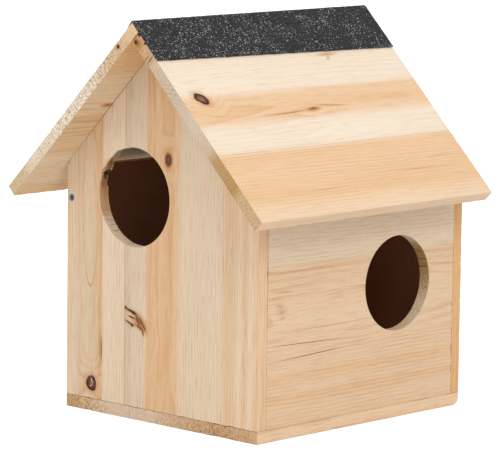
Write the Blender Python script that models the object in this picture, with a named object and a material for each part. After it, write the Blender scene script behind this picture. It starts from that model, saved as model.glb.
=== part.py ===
"""A squirrel house of untreated fir with a mineral felt ridge, in metres, +Z up.

The gabled front faces -Y and the house stands on its floor board at Z = 0. Six glued fir panels
are nailed and screwed round that floor. The left side is a door that hangs on two screws under
the eave and swings outward for cleaning.
"""

import math

import bmesh
import bpy
from mathutils import Vector

# The carcass
HOUSE_WIDTH = 0.192
HOUSE_DEPTH = 0.215
EAVE_HEIGHT = 0.1785
FLOOR_THICKNESS = 0.009
WALL_THICKNESS = 0.009

# The roof
ROOF_PITCH = math.radians(45)
ROOF_THICKNESS = 0.009
EAVE_OVERHANG = 0.0305
FRONT_OVERHANG = 0.030
BACK_SETBACK = 0.003
RIDGE_GAP = 0.0008
FELT_WIDTH = 0.0365
FELT_THICKNESS = 0.0013
FELT_SKEW = 0.0045
FELT_LEFT_CUT = 0.007
FELT_FOLD_STEPS = 8

# The entrances
FRONT_HOLE_DIAMETER = 0.071
FRONT_HOLE_LEFT_OF_CENTRE = 0.027
FRONT_HOLE_HEIGHT = 0.160
SIDE_HOLE_DIAMETER = 0.069
SIDE_HOLE_FROM_BACK = 0.0705
SIDE_HOLE_HEIGHT = 0.098
HOLE_SIDES = 72

# The clean-out door
DOOR_END_CLEARANCE = 0.0007
DOOR_FOOT_CLEARANCE = 0.0012
DOOR_HEAD_CLEARANCE = 0.0025
PIVOT_DROP = 0.025
PIVOT_CLEARANCE = 0.0003

# Fasteners
PIVOT_HEAD_DIAMETER = 0.0052
PIVOT_SHANK_DIAMETER = 0.0026
PIVOT_LENGTH = 0.030
FLOOR_HEAD_DIAMETER = 0.0056
FLOOR_SHANK_DIAMETER = 0.0026
FLOOR_SCREW_LENGTH = 0.030
FLOOR_SCREW_INSET = 0.034
ROOF_HEAD_DIAMETER = 0.0044
ROOF_SHANK_DIAMETER = 0.0020
ROOF_NAIL_LENGTH = 0.026
ROOF_NAIL_FROM_RIDGE = 0.028
DRIVE_RECESS_DIAMETER = 0.0022
DRIVE_RECESS_DEPTH = 0.0011
HEAD_SINK = 0.0001
POINT_LENGTH = 0.003
FASTENER_SIDES = 16

# Fits and finish
SEAT_GAP = 0.0003
EASED_EDGE = 0.0005
CUT_OVERRUN = 0.004

# Places that follow from the sizes above; the origin is the middle of the whole house's footprint
HALF_WIDTH = HOUSE_WIDTH / 2
OVERALL_DEPTH = FRONT_OVERHANG + HOUSE_DEPTH
BACK_FACE = OVERALL_DEPTH / 2
FRONT_FACE = BACK_FACE - HOUSE_DEPTH
GABLE_RISE = HALF_WIDTH * math.tan(ROOF_PITCH)
RIDGE_HEIGHT = EAVE_HEIGHT + GABLE_RISE + ROOF_THICKNESS / math.cos(ROOF_PITCH)
ROOF_FRONT = FRONT_FACE - FRONT_OVERHANG
ROOF_BACK = BACK_FACE - BACK_SETBACK
SLOPE_LENGTH = (HALF_WIDTH + EAVE_OVERHANG) / math.cos(ROOF_PITCH)
WALL_FOOT = FLOOR_THICKNESS + SEAT_GAP
WALL_HEAD = EAVE_HEIGHT - SEAT_GAP / math.cos(ROOF_PITCH)
FRONT_INSIDE = FRONT_FACE + WALL_THICKNESS
BACK_INSIDE = BACK_FACE - WALL_THICKNESS
PIVOT_X = WALL_THICKNESS / 2 - HALF_WIDTH
PIVOT_Z = EAVE_HEIGHT - PIVOT_DROP

# Linear colours of the finishes
FIR_PALE = (0.70, 0.52, 0.34)
FIR_WARM = (0.68, 0.45, 0.26)
FIR_BRIGHT = (0.78, 0.58, 0.37)
BITUMEN = (0.035, 0.035, 0.035)
ZINC = (0.46, 0.49, 0.53)
STEEL = (0.30, 0.30, 0.31)


def clear_scene():
    for obj in list(bpy.data.objects):
        bpy.data.objects.remove(obj, do_unlink=True)


def finish(obj, colour, roughness, metallic=0.0):
    """Gives the object a material of its own."""
    made = bpy.data.materials.new(obj.name + "_finish")
    made.use_nodes = True
    surface = made.node_tree.nodes["Principled BSDF"]
    surface.inputs["Base Color"].default_value = (*colour, 1.0)
    surface.inputs["Roughness"].default_value = roughness
    surface.inputs["Metallic"].default_value = metallic
    made.diffuse_color = (*colour, 1.0)
    obj.data.materials.append(made)


def object_from(name, form, location=(0.0, 0.0, 0.0)):
    """Links a bmesh as a named object. The form is already in the object's own coordinates."""
    bmesh.ops.recalc_face_normals(form, faces=form.faces)
    mesh = bpy.data.meshes.new(name)
    form.to_mesh(mesh)
    form.free()
    obj = bpy.data.objects.new(name, mesh)
    obj.location = location
    bpy.context.scene.collection.objects.link(obj)
    return obj


def extruded(outline, start, end):
    """A closed form: an outline of (x, z) points drawn out along Y."""
    form = bmesh.new()
    face = form.faces.new([form.verts.new((x, start, z)) for x, z in outline])
    drawn = bmesh.ops.extrude_face_region(form, geom=[face])
    moved = [item for item in drawn["geom"] if isinstance(item, bmesh.types.BMVert)]
    bmesh.ops.translate(form, verts=moved, vec=(0.0, end - start, 0.0))
    return form


def lofted(sections):
    """A closed form through rings of points that match one to one."""
    form = bmesh.new()
    rings = [[form.verts.new(point) for point in section] for section in sections]
    for ring, following in zip(rings, rings[1:]):
        for step, corner in enumerate(ring):
            form.faces.new([ring[step - 1], corner, following[step], following[step - 1]])
    form.faces.new(rings[0])
    form.faces.new(rings[-1])
    return form


def box(low, high):
    """A closed box between two corners."""
    outline = [(low[0], low[2]), (high[0], low[2]), (high[0], high[2]), (low[0], high[2])]
    return extruded(outline, low[1], high[1])


def turned(profile, sides):
    """A closed form: a profile of (radius, z) points turned round Z. It starts and ends at radius 0."""
    form = bmesh.new()
    rings = []
    for radius, z in profile:
        if radius == 0:
            rings.append([form.verts.new((0.0, 0.0, z))] * sides)
            continue
        angles = [2 * math.pi * step / sides for step in range(sides)]
        rings.append([form.verts.new((radius * math.cos(a), radius * math.sin(a), z)) for a in angles])
    for upper, lower in zip(rings, rings[1:]):
        for step in range(sides):
            after = (step + 1) % sides
            corners = [upper[step], upper[after], lower[after], lower[step]]
            form.faces.new(list(dict.fromkeys(corners)))
    return form


def aim(obj, point, outward):
    """Puts the object's origin on the point, with its own +Z along the outward direction."""
    obj.location = point
    obj.rotation_mode = "QUATERNION"
    obj.rotation_quaternion = Vector(outward).to_track_quat("Z", "Y")


def hide_cutter(cutter):
    cutter.hide_render = True
    cutter.display_type = "WIRE"


def cut(obj, cutter):
    """Takes the cutter out of the object with an exact Boolean."""
    hide_cutter(cutter)
    modifier = obj.modifiers.new(cutter.name, "BOOLEAN")
    modifier.operation = "DIFFERENCE"
    modifier.solver = "EXACT"
    modifier.object = cutter


def ease_edges(obj):
    """The light sanding that takes the sharpness off every sawn edge."""
    modifier = obj.modifiers.new("eased_edges", "BEVEL")
    modifier.width = EASED_EDGE
    modifier.segments = 1
    modifier.limit_method = "ANGLE"
    modifier.angle_limit = math.radians(30)


def fastener_profile(head_diameter, shank_diameter, length):
    """Half of a countersunk fastener with a drive recess, head at Z = 0 and point down."""
    head = head_diameter / 2
    shank = shank_diameter / 2
    recess = DRIVE_RECESS_DIAMETER / 2
    return [
        (0.0, -DRIVE_RECESS_DEPTH),
        (recess, 0.0),
        (head, 0.0),
        (shank, shank - head),
        (shank, POINT_LENGTH - length),
        (0.0, -length),
    ]


def bore_profile(head_diameter, shank_diameter, length, clearance):
    """Half of the hole for a countersunk fastener, open at the surface and clear of it all round."""
    head = head_diameter / 2 + clearance
    shank = shank_diameter / 2 + clearance
    return [
        (0.0, CUT_OVERRUN),
        (head + CUT_OVERRUN, CUT_OVERRUN),
        (shank, shank - head),
        (shank, -length),
        (0.0, -length - clearance),
    ]


def drive_fastener(name, sizes, point, outward, boards, clearance):
    """Puts in one countersunk fastener and bores each board that it passes through."""
    seat = Vector(point) - Vector(outward).normalized() * HEAD_SINK
    fastener = object_from(name, turned(fastener_profile(*sizes), FASTENER_SIDES))
    aim(fastener, seat, outward)
    bore = object_from(name + "_bore", turned(bore_profile(*sizes, clearance), FASTENER_SIDES))
    aim(bore, seat, outward)
    for obj in boards:
        cut(obj, bore)
    fastener.data.shade_smooth()
    fastener.data.set_sharp_from_angle(angle=math.radians(35))
    return fastener


def hole_cutter(name, diameter, point, outward):
    """A cylinder that goes right through a wall."""
    radius = diameter / 2
    reach = WALL_THICKNESS + CUT_OVERRUN
    profile = [(0.0, CUT_OVERRUN), (radius, CUT_OVERRUN), (radius, -reach), (0.0, -reach)]
    cutter = object_from(name, turned(profile, HOLE_SIDES))
    aim(cutter, point, outward)
    return cutter


def slope_point(side, along, out):
    """(x, z) of a point so far down one slope from the ridge and so far out of its weather face."""
    x = side * (along * math.cos(ROOF_PITCH) + out * math.sin(ROOF_PITCH))
    return x, RIDGE_HEIGHT - along * math.sin(ROOF_PITCH) + out * math.cos(ROOF_PITCH)


def along_under_other(depth, out):
    """How far down a slope a line at this height out of it lies this deep under the other slope."""
    return (depth + out * math.cos(2 * ROOF_PITCH)) / math.sin(2 * ROOF_PITCH)


def make_floor():
    """The floor runs under all four walls, so its edge shows all round."""
    low = (-HALF_WIDTH, FRONT_FACE, 0.0)
    high = (HALF_WIDTH, BACK_FACE, FLOOR_THICKNESS)
    floor = object_from("floor_board", box(low, high))
    ease_edges(floor)
    finish(floor, FIR_WARM, 0.62)
    return floor


def gable_outline():
    """The pentagon of both gables, seated under the slopes."""
    return [
        (-HALF_WIDTH, WALL_FOOT),
        (HALF_WIDTH, WALL_FOOT),
        (HALF_WIDTH, WALL_HEAD),
        (0.0, WALL_HEAD + GABLE_RISE),
        (-HALF_WIDTH, WALL_HEAD),
    ]


def make_gables():
    """Front and back gables. The front one has its entrance up and to the left of its middle."""
    front = object_from("front_gable", extruded(gable_outline(), FRONT_FACE, FRONT_INSIDE))
    hole = (-FRONT_HOLE_LEFT_OF_CENTRE, FRONT_FACE, FRONT_HOLE_HEIGHT)
    cut(front, hole_cutter("front_entrance", FRONT_HOLE_DIAMETER, hole, (0.0, -1.0, 0.0)))
    back = object_from("back_gable", extruded(gable_outline(), BACK_INSIDE, BACK_FACE))
    for gable, colour in ((front, FIR_PALE), (back, FIR_WARM)):
        ease_edges(gable)
        finish(gable, colour, 0.60)
    return front, back


def make_right_side():
    """The fixed side, set in between the gables, with its entrance low and towards the back."""
    low = (HALF_WIDTH - WALL_THICKNESS, FRONT_INSIDE + SEAT_GAP, WALL_FOOT)
    high = (HALF_WIDTH, BACK_INSIDE - SEAT_GAP, WALL_HEAD)
    panel = object_from("right_side_panel", box(low, high))
    hole = (HALF_WIDTH, BACK_FACE - SIDE_HOLE_FROM_BACK, SIDE_HOLE_HEIGHT)
    cut(panel, hole_cutter("side_entrance", SIDE_HOLE_DIAMETER, hole, (1.0, 0.0, 0.0)))
    ease_edges(panel)
    finish(panel, FIR_PALE, 0.60)
    return panel


def make_door():
    """The left side, a door whose origin lies on its pivot axis. It stops short of its frame all round."""
    foot = FLOOR_THICKNESS + DOOR_FOOT_CLEARANCE - PIVOT_Z
    head = PIVOT_DROP - DOOR_HEAD_CLEARANCE
    low = (-WALL_THICKNESS / 2, FRONT_INSIDE + DOOR_END_CLEARANCE, foot)
    high = (WALL_THICKNESS / 2, BACK_INSIDE - DOOR_END_CLEARANCE, head)
    door = object_from("left_side_door", box(low, high), (PIVOT_X, 0.0, PIVOT_Z))
    ease_edges(door)
    finish(door, FIR_PALE, 0.60)
    return door


def roof_board(name, side, ridge_depth, colour):
    """One slope. Its top end is sawn to lie ridge_depth under the other slope's weather face."""
    outline = [
        slope_point(side, along_under_other(ridge_depth, 0.0), 0.0),
        slope_point(side, SLOPE_LENGTH, 0.0),
        slope_point(side, SLOPE_LENGTH, -ROOF_THICKNESS),
        slope_point(side, along_under_other(ridge_depth, -ROOF_THICKNESS), -ROOF_THICKNESS),
    ]
    board = object_from(name, extruded(outline, ROOF_FRONT, ROOF_BACK))
    ease_edges(board)
    finish(board, colour, 0.58)
    return board


def fold_arc(radius):
    """Points of the felt's fold round the ridge line, from the right slope to the left one."""
    spread = [1 - 2 * step / FELT_FOLD_STEPS for step in range(FELT_FOLD_STEPS + 1)]
    angles = [ROOF_PITCH * share for share in spread]
    return [(radius * math.sin(a), RIDGE_HEIGHT + radius * math.cos(a)) for a in angles]


def felt_lines(out):
    """Lines from front to back on one side of the felt, from its right edge over the fold to its left one."""
    right = (slope_point(1, FELT_WIDTH, out), slope_point(1, FELT_WIDTH + FELT_SKEW, out), ROOF_FRONT)
    left_start = ROOF_FRONT + FELT_LEFT_CUT
    left = (slope_point(-1, FELT_WIDTH, out), slope_point(-1, FELT_WIDTH - FELT_SKEW, out), left_start)
    lines = [right, *[(place, place, ROOF_FRONT) for place in fold_arc(out)], left]
    return [((front[0], start, front[1]), (back[0], ROOF_BACK, back[1])) for front, back, start in lines]


def make_felt():
    """The strip of mineral felt folded over the ridge. It lies a little askew, its left corner cut back."""
    pairs = zip(felt_lines(SEAT_GAP), felt_lines(SEAT_GAP + FELT_THICKNESS))
    sections = [(*under, *reversed(over)) for under, over in pairs]
    felt = object_from("ridge_felt", lofted(sections))
    finish(felt, BITUMEN, 0.92)
    return felt


def fasten_door(door, gables):
    """The two screws that the door swings on. They grip the gables and run free in the door."""
    sizes = (PIVOT_HEAD_DIAMETER, PIVOT_SHANK_DIAMETER, PIVOT_LENGTH)
    places = (("pivot_screw_front", FRONT_FACE, -1.0), ("pivot_screw_back", BACK_FACE, 1.0))
    for (name, face, outward), gable in zip(places, gables):
        point = (PIVOT_X, face, PIVOT_Z)
        screw = drive_fastener(name, sizes, point, (0.0, outward, 0.0), (gable, door), PIVOT_CLEARANCE)
        finish(screw, ZINC, 0.38, 1.0)


def fasten_floor(floor, gables, panel):
    """Screws from below, two in each gable and two in the fixed side."""
    sizes = (FLOOR_HEAD_DIAMETER, FLOOR_SHANK_DIAMETER, FLOOR_SCREW_LENGTH)
    middle = WALL_THICKNESS / 2
    across = HALF_WIDTH - FLOOR_SCREW_INSET
    places = []
    for gable, y, end in zip(gables, (FRONT_FACE + middle, BACK_FACE - middle), ("front", "back")):
        places += [(end + "_left", -across, y, gable), (end + "_right", across, y, gable)]
    for y, end in ((FRONT_INSIDE + FLOOR_SCREW_INSET, "front"), (BACK_INSIDE - FLOOR_SCREW_INSET, "back")):
        places.append(("side_" + end, HALF_WIDTH - middle, y, panel))
    for name, x, y, wall in places:
        screw = drive_fastener("floor_screw_" + name, sizes, (x, y, 0.0), (0.0, 0.0, -1.0), (floor, wall), SEAT_GAP)
        finish(screw, ZINC, 0.42, 1.0)


def fasten_roof(boards, gables):
    """Nails near the ridge, one from each slope into each gable, which the felt then covers."""
    sizes = (ROOF_HEAD_DIAMETER, ROOF_SHANK_DIAMETER, ROOF_NAIL_LENGTH)
    middle = WALL_THICKNESS / 2
    for board, side, hand in zip(boards, (-1, 1), ("left", "right")):
        x, z = slope_point(side, ROOF_NAIL_FROM_RIDGE, 0.0)
        outward = (side * math.sin(ROOF_PITCH), 0.0, math.cos(ROOF_PITCH))
        for gable, y, end in zip(gables, (FRONT_FACE + middle, BACK_FACE - middle), ("front", "back")):
            name = "roof_nail_" + hand + "_" + end
            nail = drive_fastener(name, sizes, (x, y, z), outward, (board, gable), SEAT_GAP)
            finish(nail, STEEL, 0.5, 1.0)


def main():
    clear_scene()
    floor = make_floor()
    gables = make_gables()
    panel = make_right_side()
    door = make_door()
    left = roof_board("roof_board_left", -1, 0.0, FIR_WARM)
    right = roof_board("roof_board_right", 1, ROOF_THICKNESS + RIDGE_GAP, FIR_BRIGHT)
    make_felt()
    fasten_door(door, gables)
    fasten_floor(floor, gables, panel)
    fasten_roof((left, right), gables)


main()
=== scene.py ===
"""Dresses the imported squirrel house: fir boards, mineral felt, zinc screws and a white studio.

The file is laid out as a Blender add-on. Every board is a new surface worked out with numpy, with
sanded edges and its own grain, and it stands for one board of the frame.
"""

import math
from functools import partial

import bpy
import numpy as np
from mathutils import Matrix, Vector


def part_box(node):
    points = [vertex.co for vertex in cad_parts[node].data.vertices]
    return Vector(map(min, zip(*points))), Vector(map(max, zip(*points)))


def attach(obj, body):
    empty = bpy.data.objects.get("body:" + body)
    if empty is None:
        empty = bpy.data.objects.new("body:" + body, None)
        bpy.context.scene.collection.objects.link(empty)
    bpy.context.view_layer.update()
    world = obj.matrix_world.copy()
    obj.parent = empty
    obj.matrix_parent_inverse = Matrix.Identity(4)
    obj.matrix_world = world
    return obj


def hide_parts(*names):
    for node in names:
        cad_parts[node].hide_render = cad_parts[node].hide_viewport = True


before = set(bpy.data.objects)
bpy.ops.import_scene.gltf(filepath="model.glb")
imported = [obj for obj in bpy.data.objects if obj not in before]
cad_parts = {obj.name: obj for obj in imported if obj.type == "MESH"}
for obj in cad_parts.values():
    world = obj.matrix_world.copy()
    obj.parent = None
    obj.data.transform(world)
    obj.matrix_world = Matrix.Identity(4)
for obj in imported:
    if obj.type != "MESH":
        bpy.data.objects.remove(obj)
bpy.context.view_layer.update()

bl_info = {
    "name": "Squirrel House",
    "version": (1, 0, 0),
    "blender": (4, 5, 0),
    "location": "View3D > Sidebar > Squirrel House",
    "description": "Fir squirrel house with a felted ridge and a clean-out side",
    "category": "Add Mesh",
}

MM = 0.001
FULL_TURN = 2 * math.pi
SLOPE = math.sqrt(0.5)
SEAT_GAP = 0.3  # millimetres between a nailed or glued face and its seat

# The photograph's camera, from a least-squares fit to its edges: degrees, pixels and metres
PHOTO_WIDTH = 497
SENSOR_WIDTH = 36.0
AZIMUTH, ELEVATION, ROLL = 43.392, 7.89, 0.761
FOCAL_LENGTH = 3290.18 * SENSOR_WIDTH / PHOTO_WIDTH
SHIFT = (-0.03476, -0.02600)
VIEW_CENTRE = (0.0, 0.015, 0.140)
VIEW_DISTANCE = 2.3931

# The stage, in metres: half the paper's side, its height, and what the lamps face
PAPER_HALF, PAPER_TOP = 6.0, -0.0002
LAMP_TARGET = (0.0, 0.0, 0.15)


def linear(code):
    """Turns an sRGB hex colour into linear RGBA."""
    channels = np.array([int(code[i : i + 2], 16) for i in (1, 3, 5)]) / 255
    low = channels / 12.92
    high = ((channels + 0.055) / 1.055) ** 2.4
    return (*np.where(channels <= 0.04045, low, high).tolist(), 1.0)


def feed(node, feeds):
    """Gives a node's sockets, by place or by name, their values or the outputs that feed them."""
    for place, value in feeds.items() if isinstance(feeds, dict) else enumerate(feeds):
        if isinstance(value, bpy.types.NodeSocket):
            node.id_data.links.new(value, node.inputs[place])
        else:
            node.inputs[place].default_value = value


def add(tree, kind, feeds=(), out=0, stops=(), **settings):
    """Adds a shader node with its settings and feeds, and returns its output of that place or name.

    The kind is the node's, with its operation after a dot where it has one. Stops are (place,
    colour) for a node that has a colour band, the colour as hex or as linear RGBA.
    """
    kind, _, operation = kind.partition(".")
    made = tree.nodes.new("ShaderNode" + kind)
    if operation:
        made.operation = operation
    for name, value in settings.items():
        setattr(made, name, value)
    feed(made, feeds)
    if stops:
        band = made.color_ramp.elements
        while len(band) < len(stops):
            band.new(1.0)
        for element, (place, colour) in zip(band, stops):
            element.position = min(max(place, 0.0), 1.0)
            element.color = linear(colour) if isinstance(colour, str) else colour
    return made.outputs[out]


def new_material(name):
    """An empty Principled material: what adds a node to it, its surface and the material itself."""
    made = bpy.data.materials.new(name)
    made.use_nodes = True
    return partial(add, made.node_tree), made.node_tree.nodes["Principled BSDF"], made


def mesh_object(name, points, quads, fans=()):
    """Links a smooth mesh made of arrays of points, quads and triangles, turned to face outwards.

    They do when the volume that they enclose, a sum of triple products, is positive.
    """
    fans = np.asarray(fans, int).reshape(-1, 3)
    corners = points[np.concatenate([quads[:, [0, 1, 2]], quads[:, [0, 2, 3]], fans])]
    if np.einsum("ij,ij->", corners[:, 0], np.cross(corners[:, 1], corners[:, 2])) < 0:
        quads = quads[:, ::-1]
        fans = fans[:, ::-1]
    mesh = bpy.data.meshes.new(name)
    mesh.from_pydata(points.tolist(), [], quads.tolist() + fans.tolist())
    mesh.update()
    mesh.shade_smooth()
    obj = bpy.data.objects.new(name, mesh)
    bpy.context.scene.collection.objects.link(obj)
    return obj


def closed_grid(points, rings_close):
    """Points and faces of a grid (rows, columns, 3) whose columns close into rings.

    Each point is joined to its neighbours. The last ring is joined to the first one, or else the
    first and last rings are poles: each is merged to one point and closed by a fan of triangles.
    """
    rows, columns, _ = points.shape
    flat = points.reshape(-1, 3)
    index = np.arange(rows * columns).reshape(rows, columns)
    after = np.roll(index, -1, axis=1)
    if rings_close:
        below = np.roll(index, -1, axis=0)
        quads = np.stack([index, after, np.roll(after, -1, axis=0), below], axis=-1).reshape(-1, 4)
        return flat, quads, ()
    inner = np.stack([index[1:-2], after[1:-2], after[2:-1], index[2:-1]], axis=-1).reshape(-1, 4)
    shift = 2 - columns
    fans = np.concatenate(
        [
            np.stack([np.full(columns, 0), after[1] + shift, index[1] + shift], axis=-1),
            np.stack([np.full(columns, 1), index[-2] + shift, after[-2] + shift], axis=-1),
        ]
    )
    kept = np.concatenate([[0, (rows - 1) * columns], index[1:-1].reshape(-1)])
    return flat[kept], inner + shift, fans


def ripple(seed, u, v, length):
    """A smooth field from -1 to 1: the mean of six sine waves that run in seeded directions."""
    rng = np.random.default_rng(seed)
    total = np.zeros(np.broadcast(u, v).shape)
    for _ in range(6):
        turn, start = rng.uniform(0, FULL_TURN, 2)
        pace = FULL_TURN / (length * rng.uniform(0.6, 1.6))
        total += np.sin(pace * (u * math.cos(turn) + v * math.sin(turn)) + start)
    return total / 6


def node_points(node):
    """The corners of a node of the frame, in millimetres."""
    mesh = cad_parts[node].data
    points = np.empty(len(mesh.vertices) * 3)
    mesh.vertices.foreach_get("co", points)
    return points.reshape(-1, 3) / MM


class Board:
    """Where one board of the frame lies: its grain, its outer face and the outline of its saw cuts.

    A point of the board is origin + across * a + along * g - outward * depth, in millimetres. The
    outline is the meeting of straight edges, whose outward directions are given in degrees from the
    across axis. They may grow outwards, to close the gaps that the solids keep. A roof board starts
    at its ridge line.
    """

    def __init__(
        self, node, across, outward, along, edges=(0, 90, 180, 270), ridge=False, grow=0.0
    ):
        self.across, self.outward, self.along = np.array([across, outward, along], float)
        points = node_points(node)
        out = points @ self.outward
        face = out.max()
        self.thickness = face - out.min()
        self.origin = np.array([0.0, 0.0, face / self.outward[2]]) if ridge else self.outward * face
        flat = (points - self.origin) @ np.stack([self.across, self.along], axis=1)
        self.turns = np.radians(edges)
        self.facing = np.stack([np.cos(self.turns), np.sin(self.turns)], axis=1)
        self.reach = (flat @ self.facing.T).max(axis=0) + grow
        self.low, self.high = flat.min(axis=0), flat.max(axis=0)

    def corners(self, inset):
        """Where each edge meets the next one, all edges moved in by the inset."""
        pairs = np.stack([self.facing, np.roll(self.facing, -1, axis=0)], axis=1)
        reach = self.reach - inset
        sums = np.stack([reach, np.roll(reach, -1)], axis=1)
        return np.linalg.solve(pairs, sums[..., None])[..., 0]

    def path(self, inset, spacing):
        """Points round the inset outline and the way out at each, which turns at the corners."""
        corners = self.corners(inset)
        places, turns = [], []
        for i, corner in enumerate(corners):
            before = corners[i - 1]
            count = max(2, int(np.linalg.norm(corner - before) / spacing))
            share = np.arange(1, count)[:, None] / count
            places.append(before + (corner - before) * share)
            turns.append(np.full(count - 1, self.turns[i]))
            swing = (self.turns[(i + 1) % len(corners)] - self.turns[i]) % FULL_TURN
            places.append(np.repeat(corner[None], 6, axis=0))
            turns.append(self.turns[i] + swing * np.linspace(0, 1, 6))
        turn = np.concatenate(turns)
        return np.concatenate(places), np.stack([np.cos(turn), np.sin(turn)], axis=1)

    def placed(self, flat, depth):
        """World points in metres of board points (a, g) at a depth under the outer face."""
        return MM * (
            self.origin
            + flat[..., :1] * self.across
            + flat[..., 1:] * self.along
            - depth[..., None] * self.outward
        )


def torn_rim(ray, torn, seed):
    """How far fibres are torn out of a rim along each ray: a positive ripple between two angles."""
    low, high, deep = torn
    angle = np.degrees(np.arctan2(ray[:, 1], ray[:, 0])) % 360
    inside = np.clip((angle - low) / 10, 0, 1) * np.clip((high - angle) / 10, 0, 1)
    ragged = ripple(seed, angle, 0, 16) + 0.7 * ripple(seed + 1, angle, 0, 5)
    return deep * (inside * np.maximum(ragged + 0.25, 0))[:, None]


def board_surface(board, sizes, seed, hole, chips, torn):
    """A sanded board: rings run over the face, round the edge, down the side and over the back.

    Each ring is the outline's path carried outwards: rounded edges are quarter circles of the edge
    radius. Where the board has a hole (across, along, radius), the rings close through it, and
    otherwise they end in the middle of each face. Faces sink by a slow ripple, edges wander, and
    small dents are pressed into the rounded edges. A chip is a plane that takes off a corner, so
    far along each axis: points beyond it are moved back onto it. Where the drill tore out fibres,
    the hole is wider at its outer and inner rim, each torn between two angles and to a depth.
    """
    radius = sizes.edge_radius / MM
    blunt = 0.15
    turn = radius + blunt
    path, facing = board.path(turn, sizes.point_spacing / MM)
    count = len(path)
    thick = board.thickness
    arc = np.linspace(0, math.pi / 2, 6)
    centre = np.array(hole[:2]) if hole else (board.low + board.high) / 2
    steps = np.linspace(0, 1, 11)[1:-1]

    def on_edge(out, depth):
        return path + facing * out, np.full(count, depth)

    def between(inner, outer, depth):
        return [(inner + (outer - inner) * step, np.full(count, depth)) for step in steps]

    rim = path + facing * blunt
    ray = rim - centre
    length = np.linalg.norm(ray, axis=1, keepdims=True)
    front = [(centre + ray * (1 - inset / length), np.zeros(count)) for inset in (1.2, 0.3)]
    rim = front[0][0]
    front += [on_edge(blunt + radius * math.sin(t), radius * (1 - math.cos(t))) for t in arc]
    sides = [on_edge(turn, radius + (thick - 2 * radius) * share) for share in (0.2, 0.5, 0.8)]
    back = [(flat, thick - depth) for flat, depth in reversed(front)]
    if hole:
        ray = ray / length
        tears = [torn_rim(ray, tear, seed + i) for i, tear in enumerate(torn)] or [0, 0]
        wide = [hole[2] + tear for tear in tears]
        round_lip = [(radius * (1 - math.sin(t)), radius * (1 - math.cos(t))) for t in arc[::-1]]
        round_lip += [(radius + 0.3, 0.0), (radius + 1.2, 0.0)]
        lips = [[(centre + ray * (edge + out), depth) for out, depth in round_lip] for edge in wide]
        lip, under = ([(flat, np.full(count, depth)) for flat, depth in rows] for rows in lips)
        under = [(flat, thick - depth) for flat, depth in reversed(under)]
        shares = (0.9, 0.8, 0.65, 0.5, 0.35, 0.2, 0.1)
        widths = [wide[0] * (1 - share) + wide[1] * share for share in shares]
        depths = [np.full(count, radius + (thick - 2 * radius) * share) for share in shares]
        bore = [(centre + ray * width, depth) for width, depth in zip(widths, depths)]
        face = lip + between(lip[-1][0], rim, 0.0)
        rows = face + front + sides + back + between(under[0][0], rim, thick)[::-1] + under + bore
    else:
        pole = np.repeat(centre[None], count, axis=0)
        face = [(pole, np.zeros(count))] + between(pole, rim, 0.0)
        rows = face + front + sides + back + between(pole, rim, thick)[::-1]
        rows.append((pole, np.full(count, thick)))
    flat = np.stack([row[0] for row in rows])
    depth = np.stack([row[1] for row in rows])

    # Slow unevenness of planed faces, always inwards, in millimetres as all that follows
    mid = 1 - 2 * depth / thick
    sink = 0.05 * (1 + ripple(seed, flat[..., 0], flat[..., 1], 60))
    depth = depth + sink * mid
    # Edges that wander, with small dents along the rounded corners
    first = len(face)
    edge_rows = slice(first, first + 2 * len(front) + len(sides))
    place = np.arange(count)
    rng = np.random.default_rng(seed + 50)
    wander = 0.06 * (1 + ripple(seed + 7, place, 0, 40))
    dents = np.zeros(count)
    spots, widths, depths = (
        rng.uniform(*span, 26) for span in ((0, count), (0.7, 2.2), (0.08, 0.34))
    )
    for spot, width, deep in zip(spots, widths, depths):
        gap = np.abs(place - spot)
        dents += deep * np.exp(-((np.minimum(gap, count - gap) / width) ** 2))
    bend = np.exp(-(((np.minimum(depth, thick - depth)[edge_rows] - 0.2) / 0.6) ** 2))
    pull = (wander + dents * bend)[..., None]
    flat[edge_rows] -= facing * pull
    depth[edge_rows] += np.sign(mid[edge_rows]) * dents * bend * 0.6
    points = board.placed(flat, depth)
    for corner, reach in chips:
        slope = 1 / (np.array(reach) * MM)
        beyond = np.maximum((points - np.array(corner) * MM) @ slope + 1, 0)
        points = points - beyond[..., None] * slope / (slope @ slope)
    return closed_grid(points, bool(hole))


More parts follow.
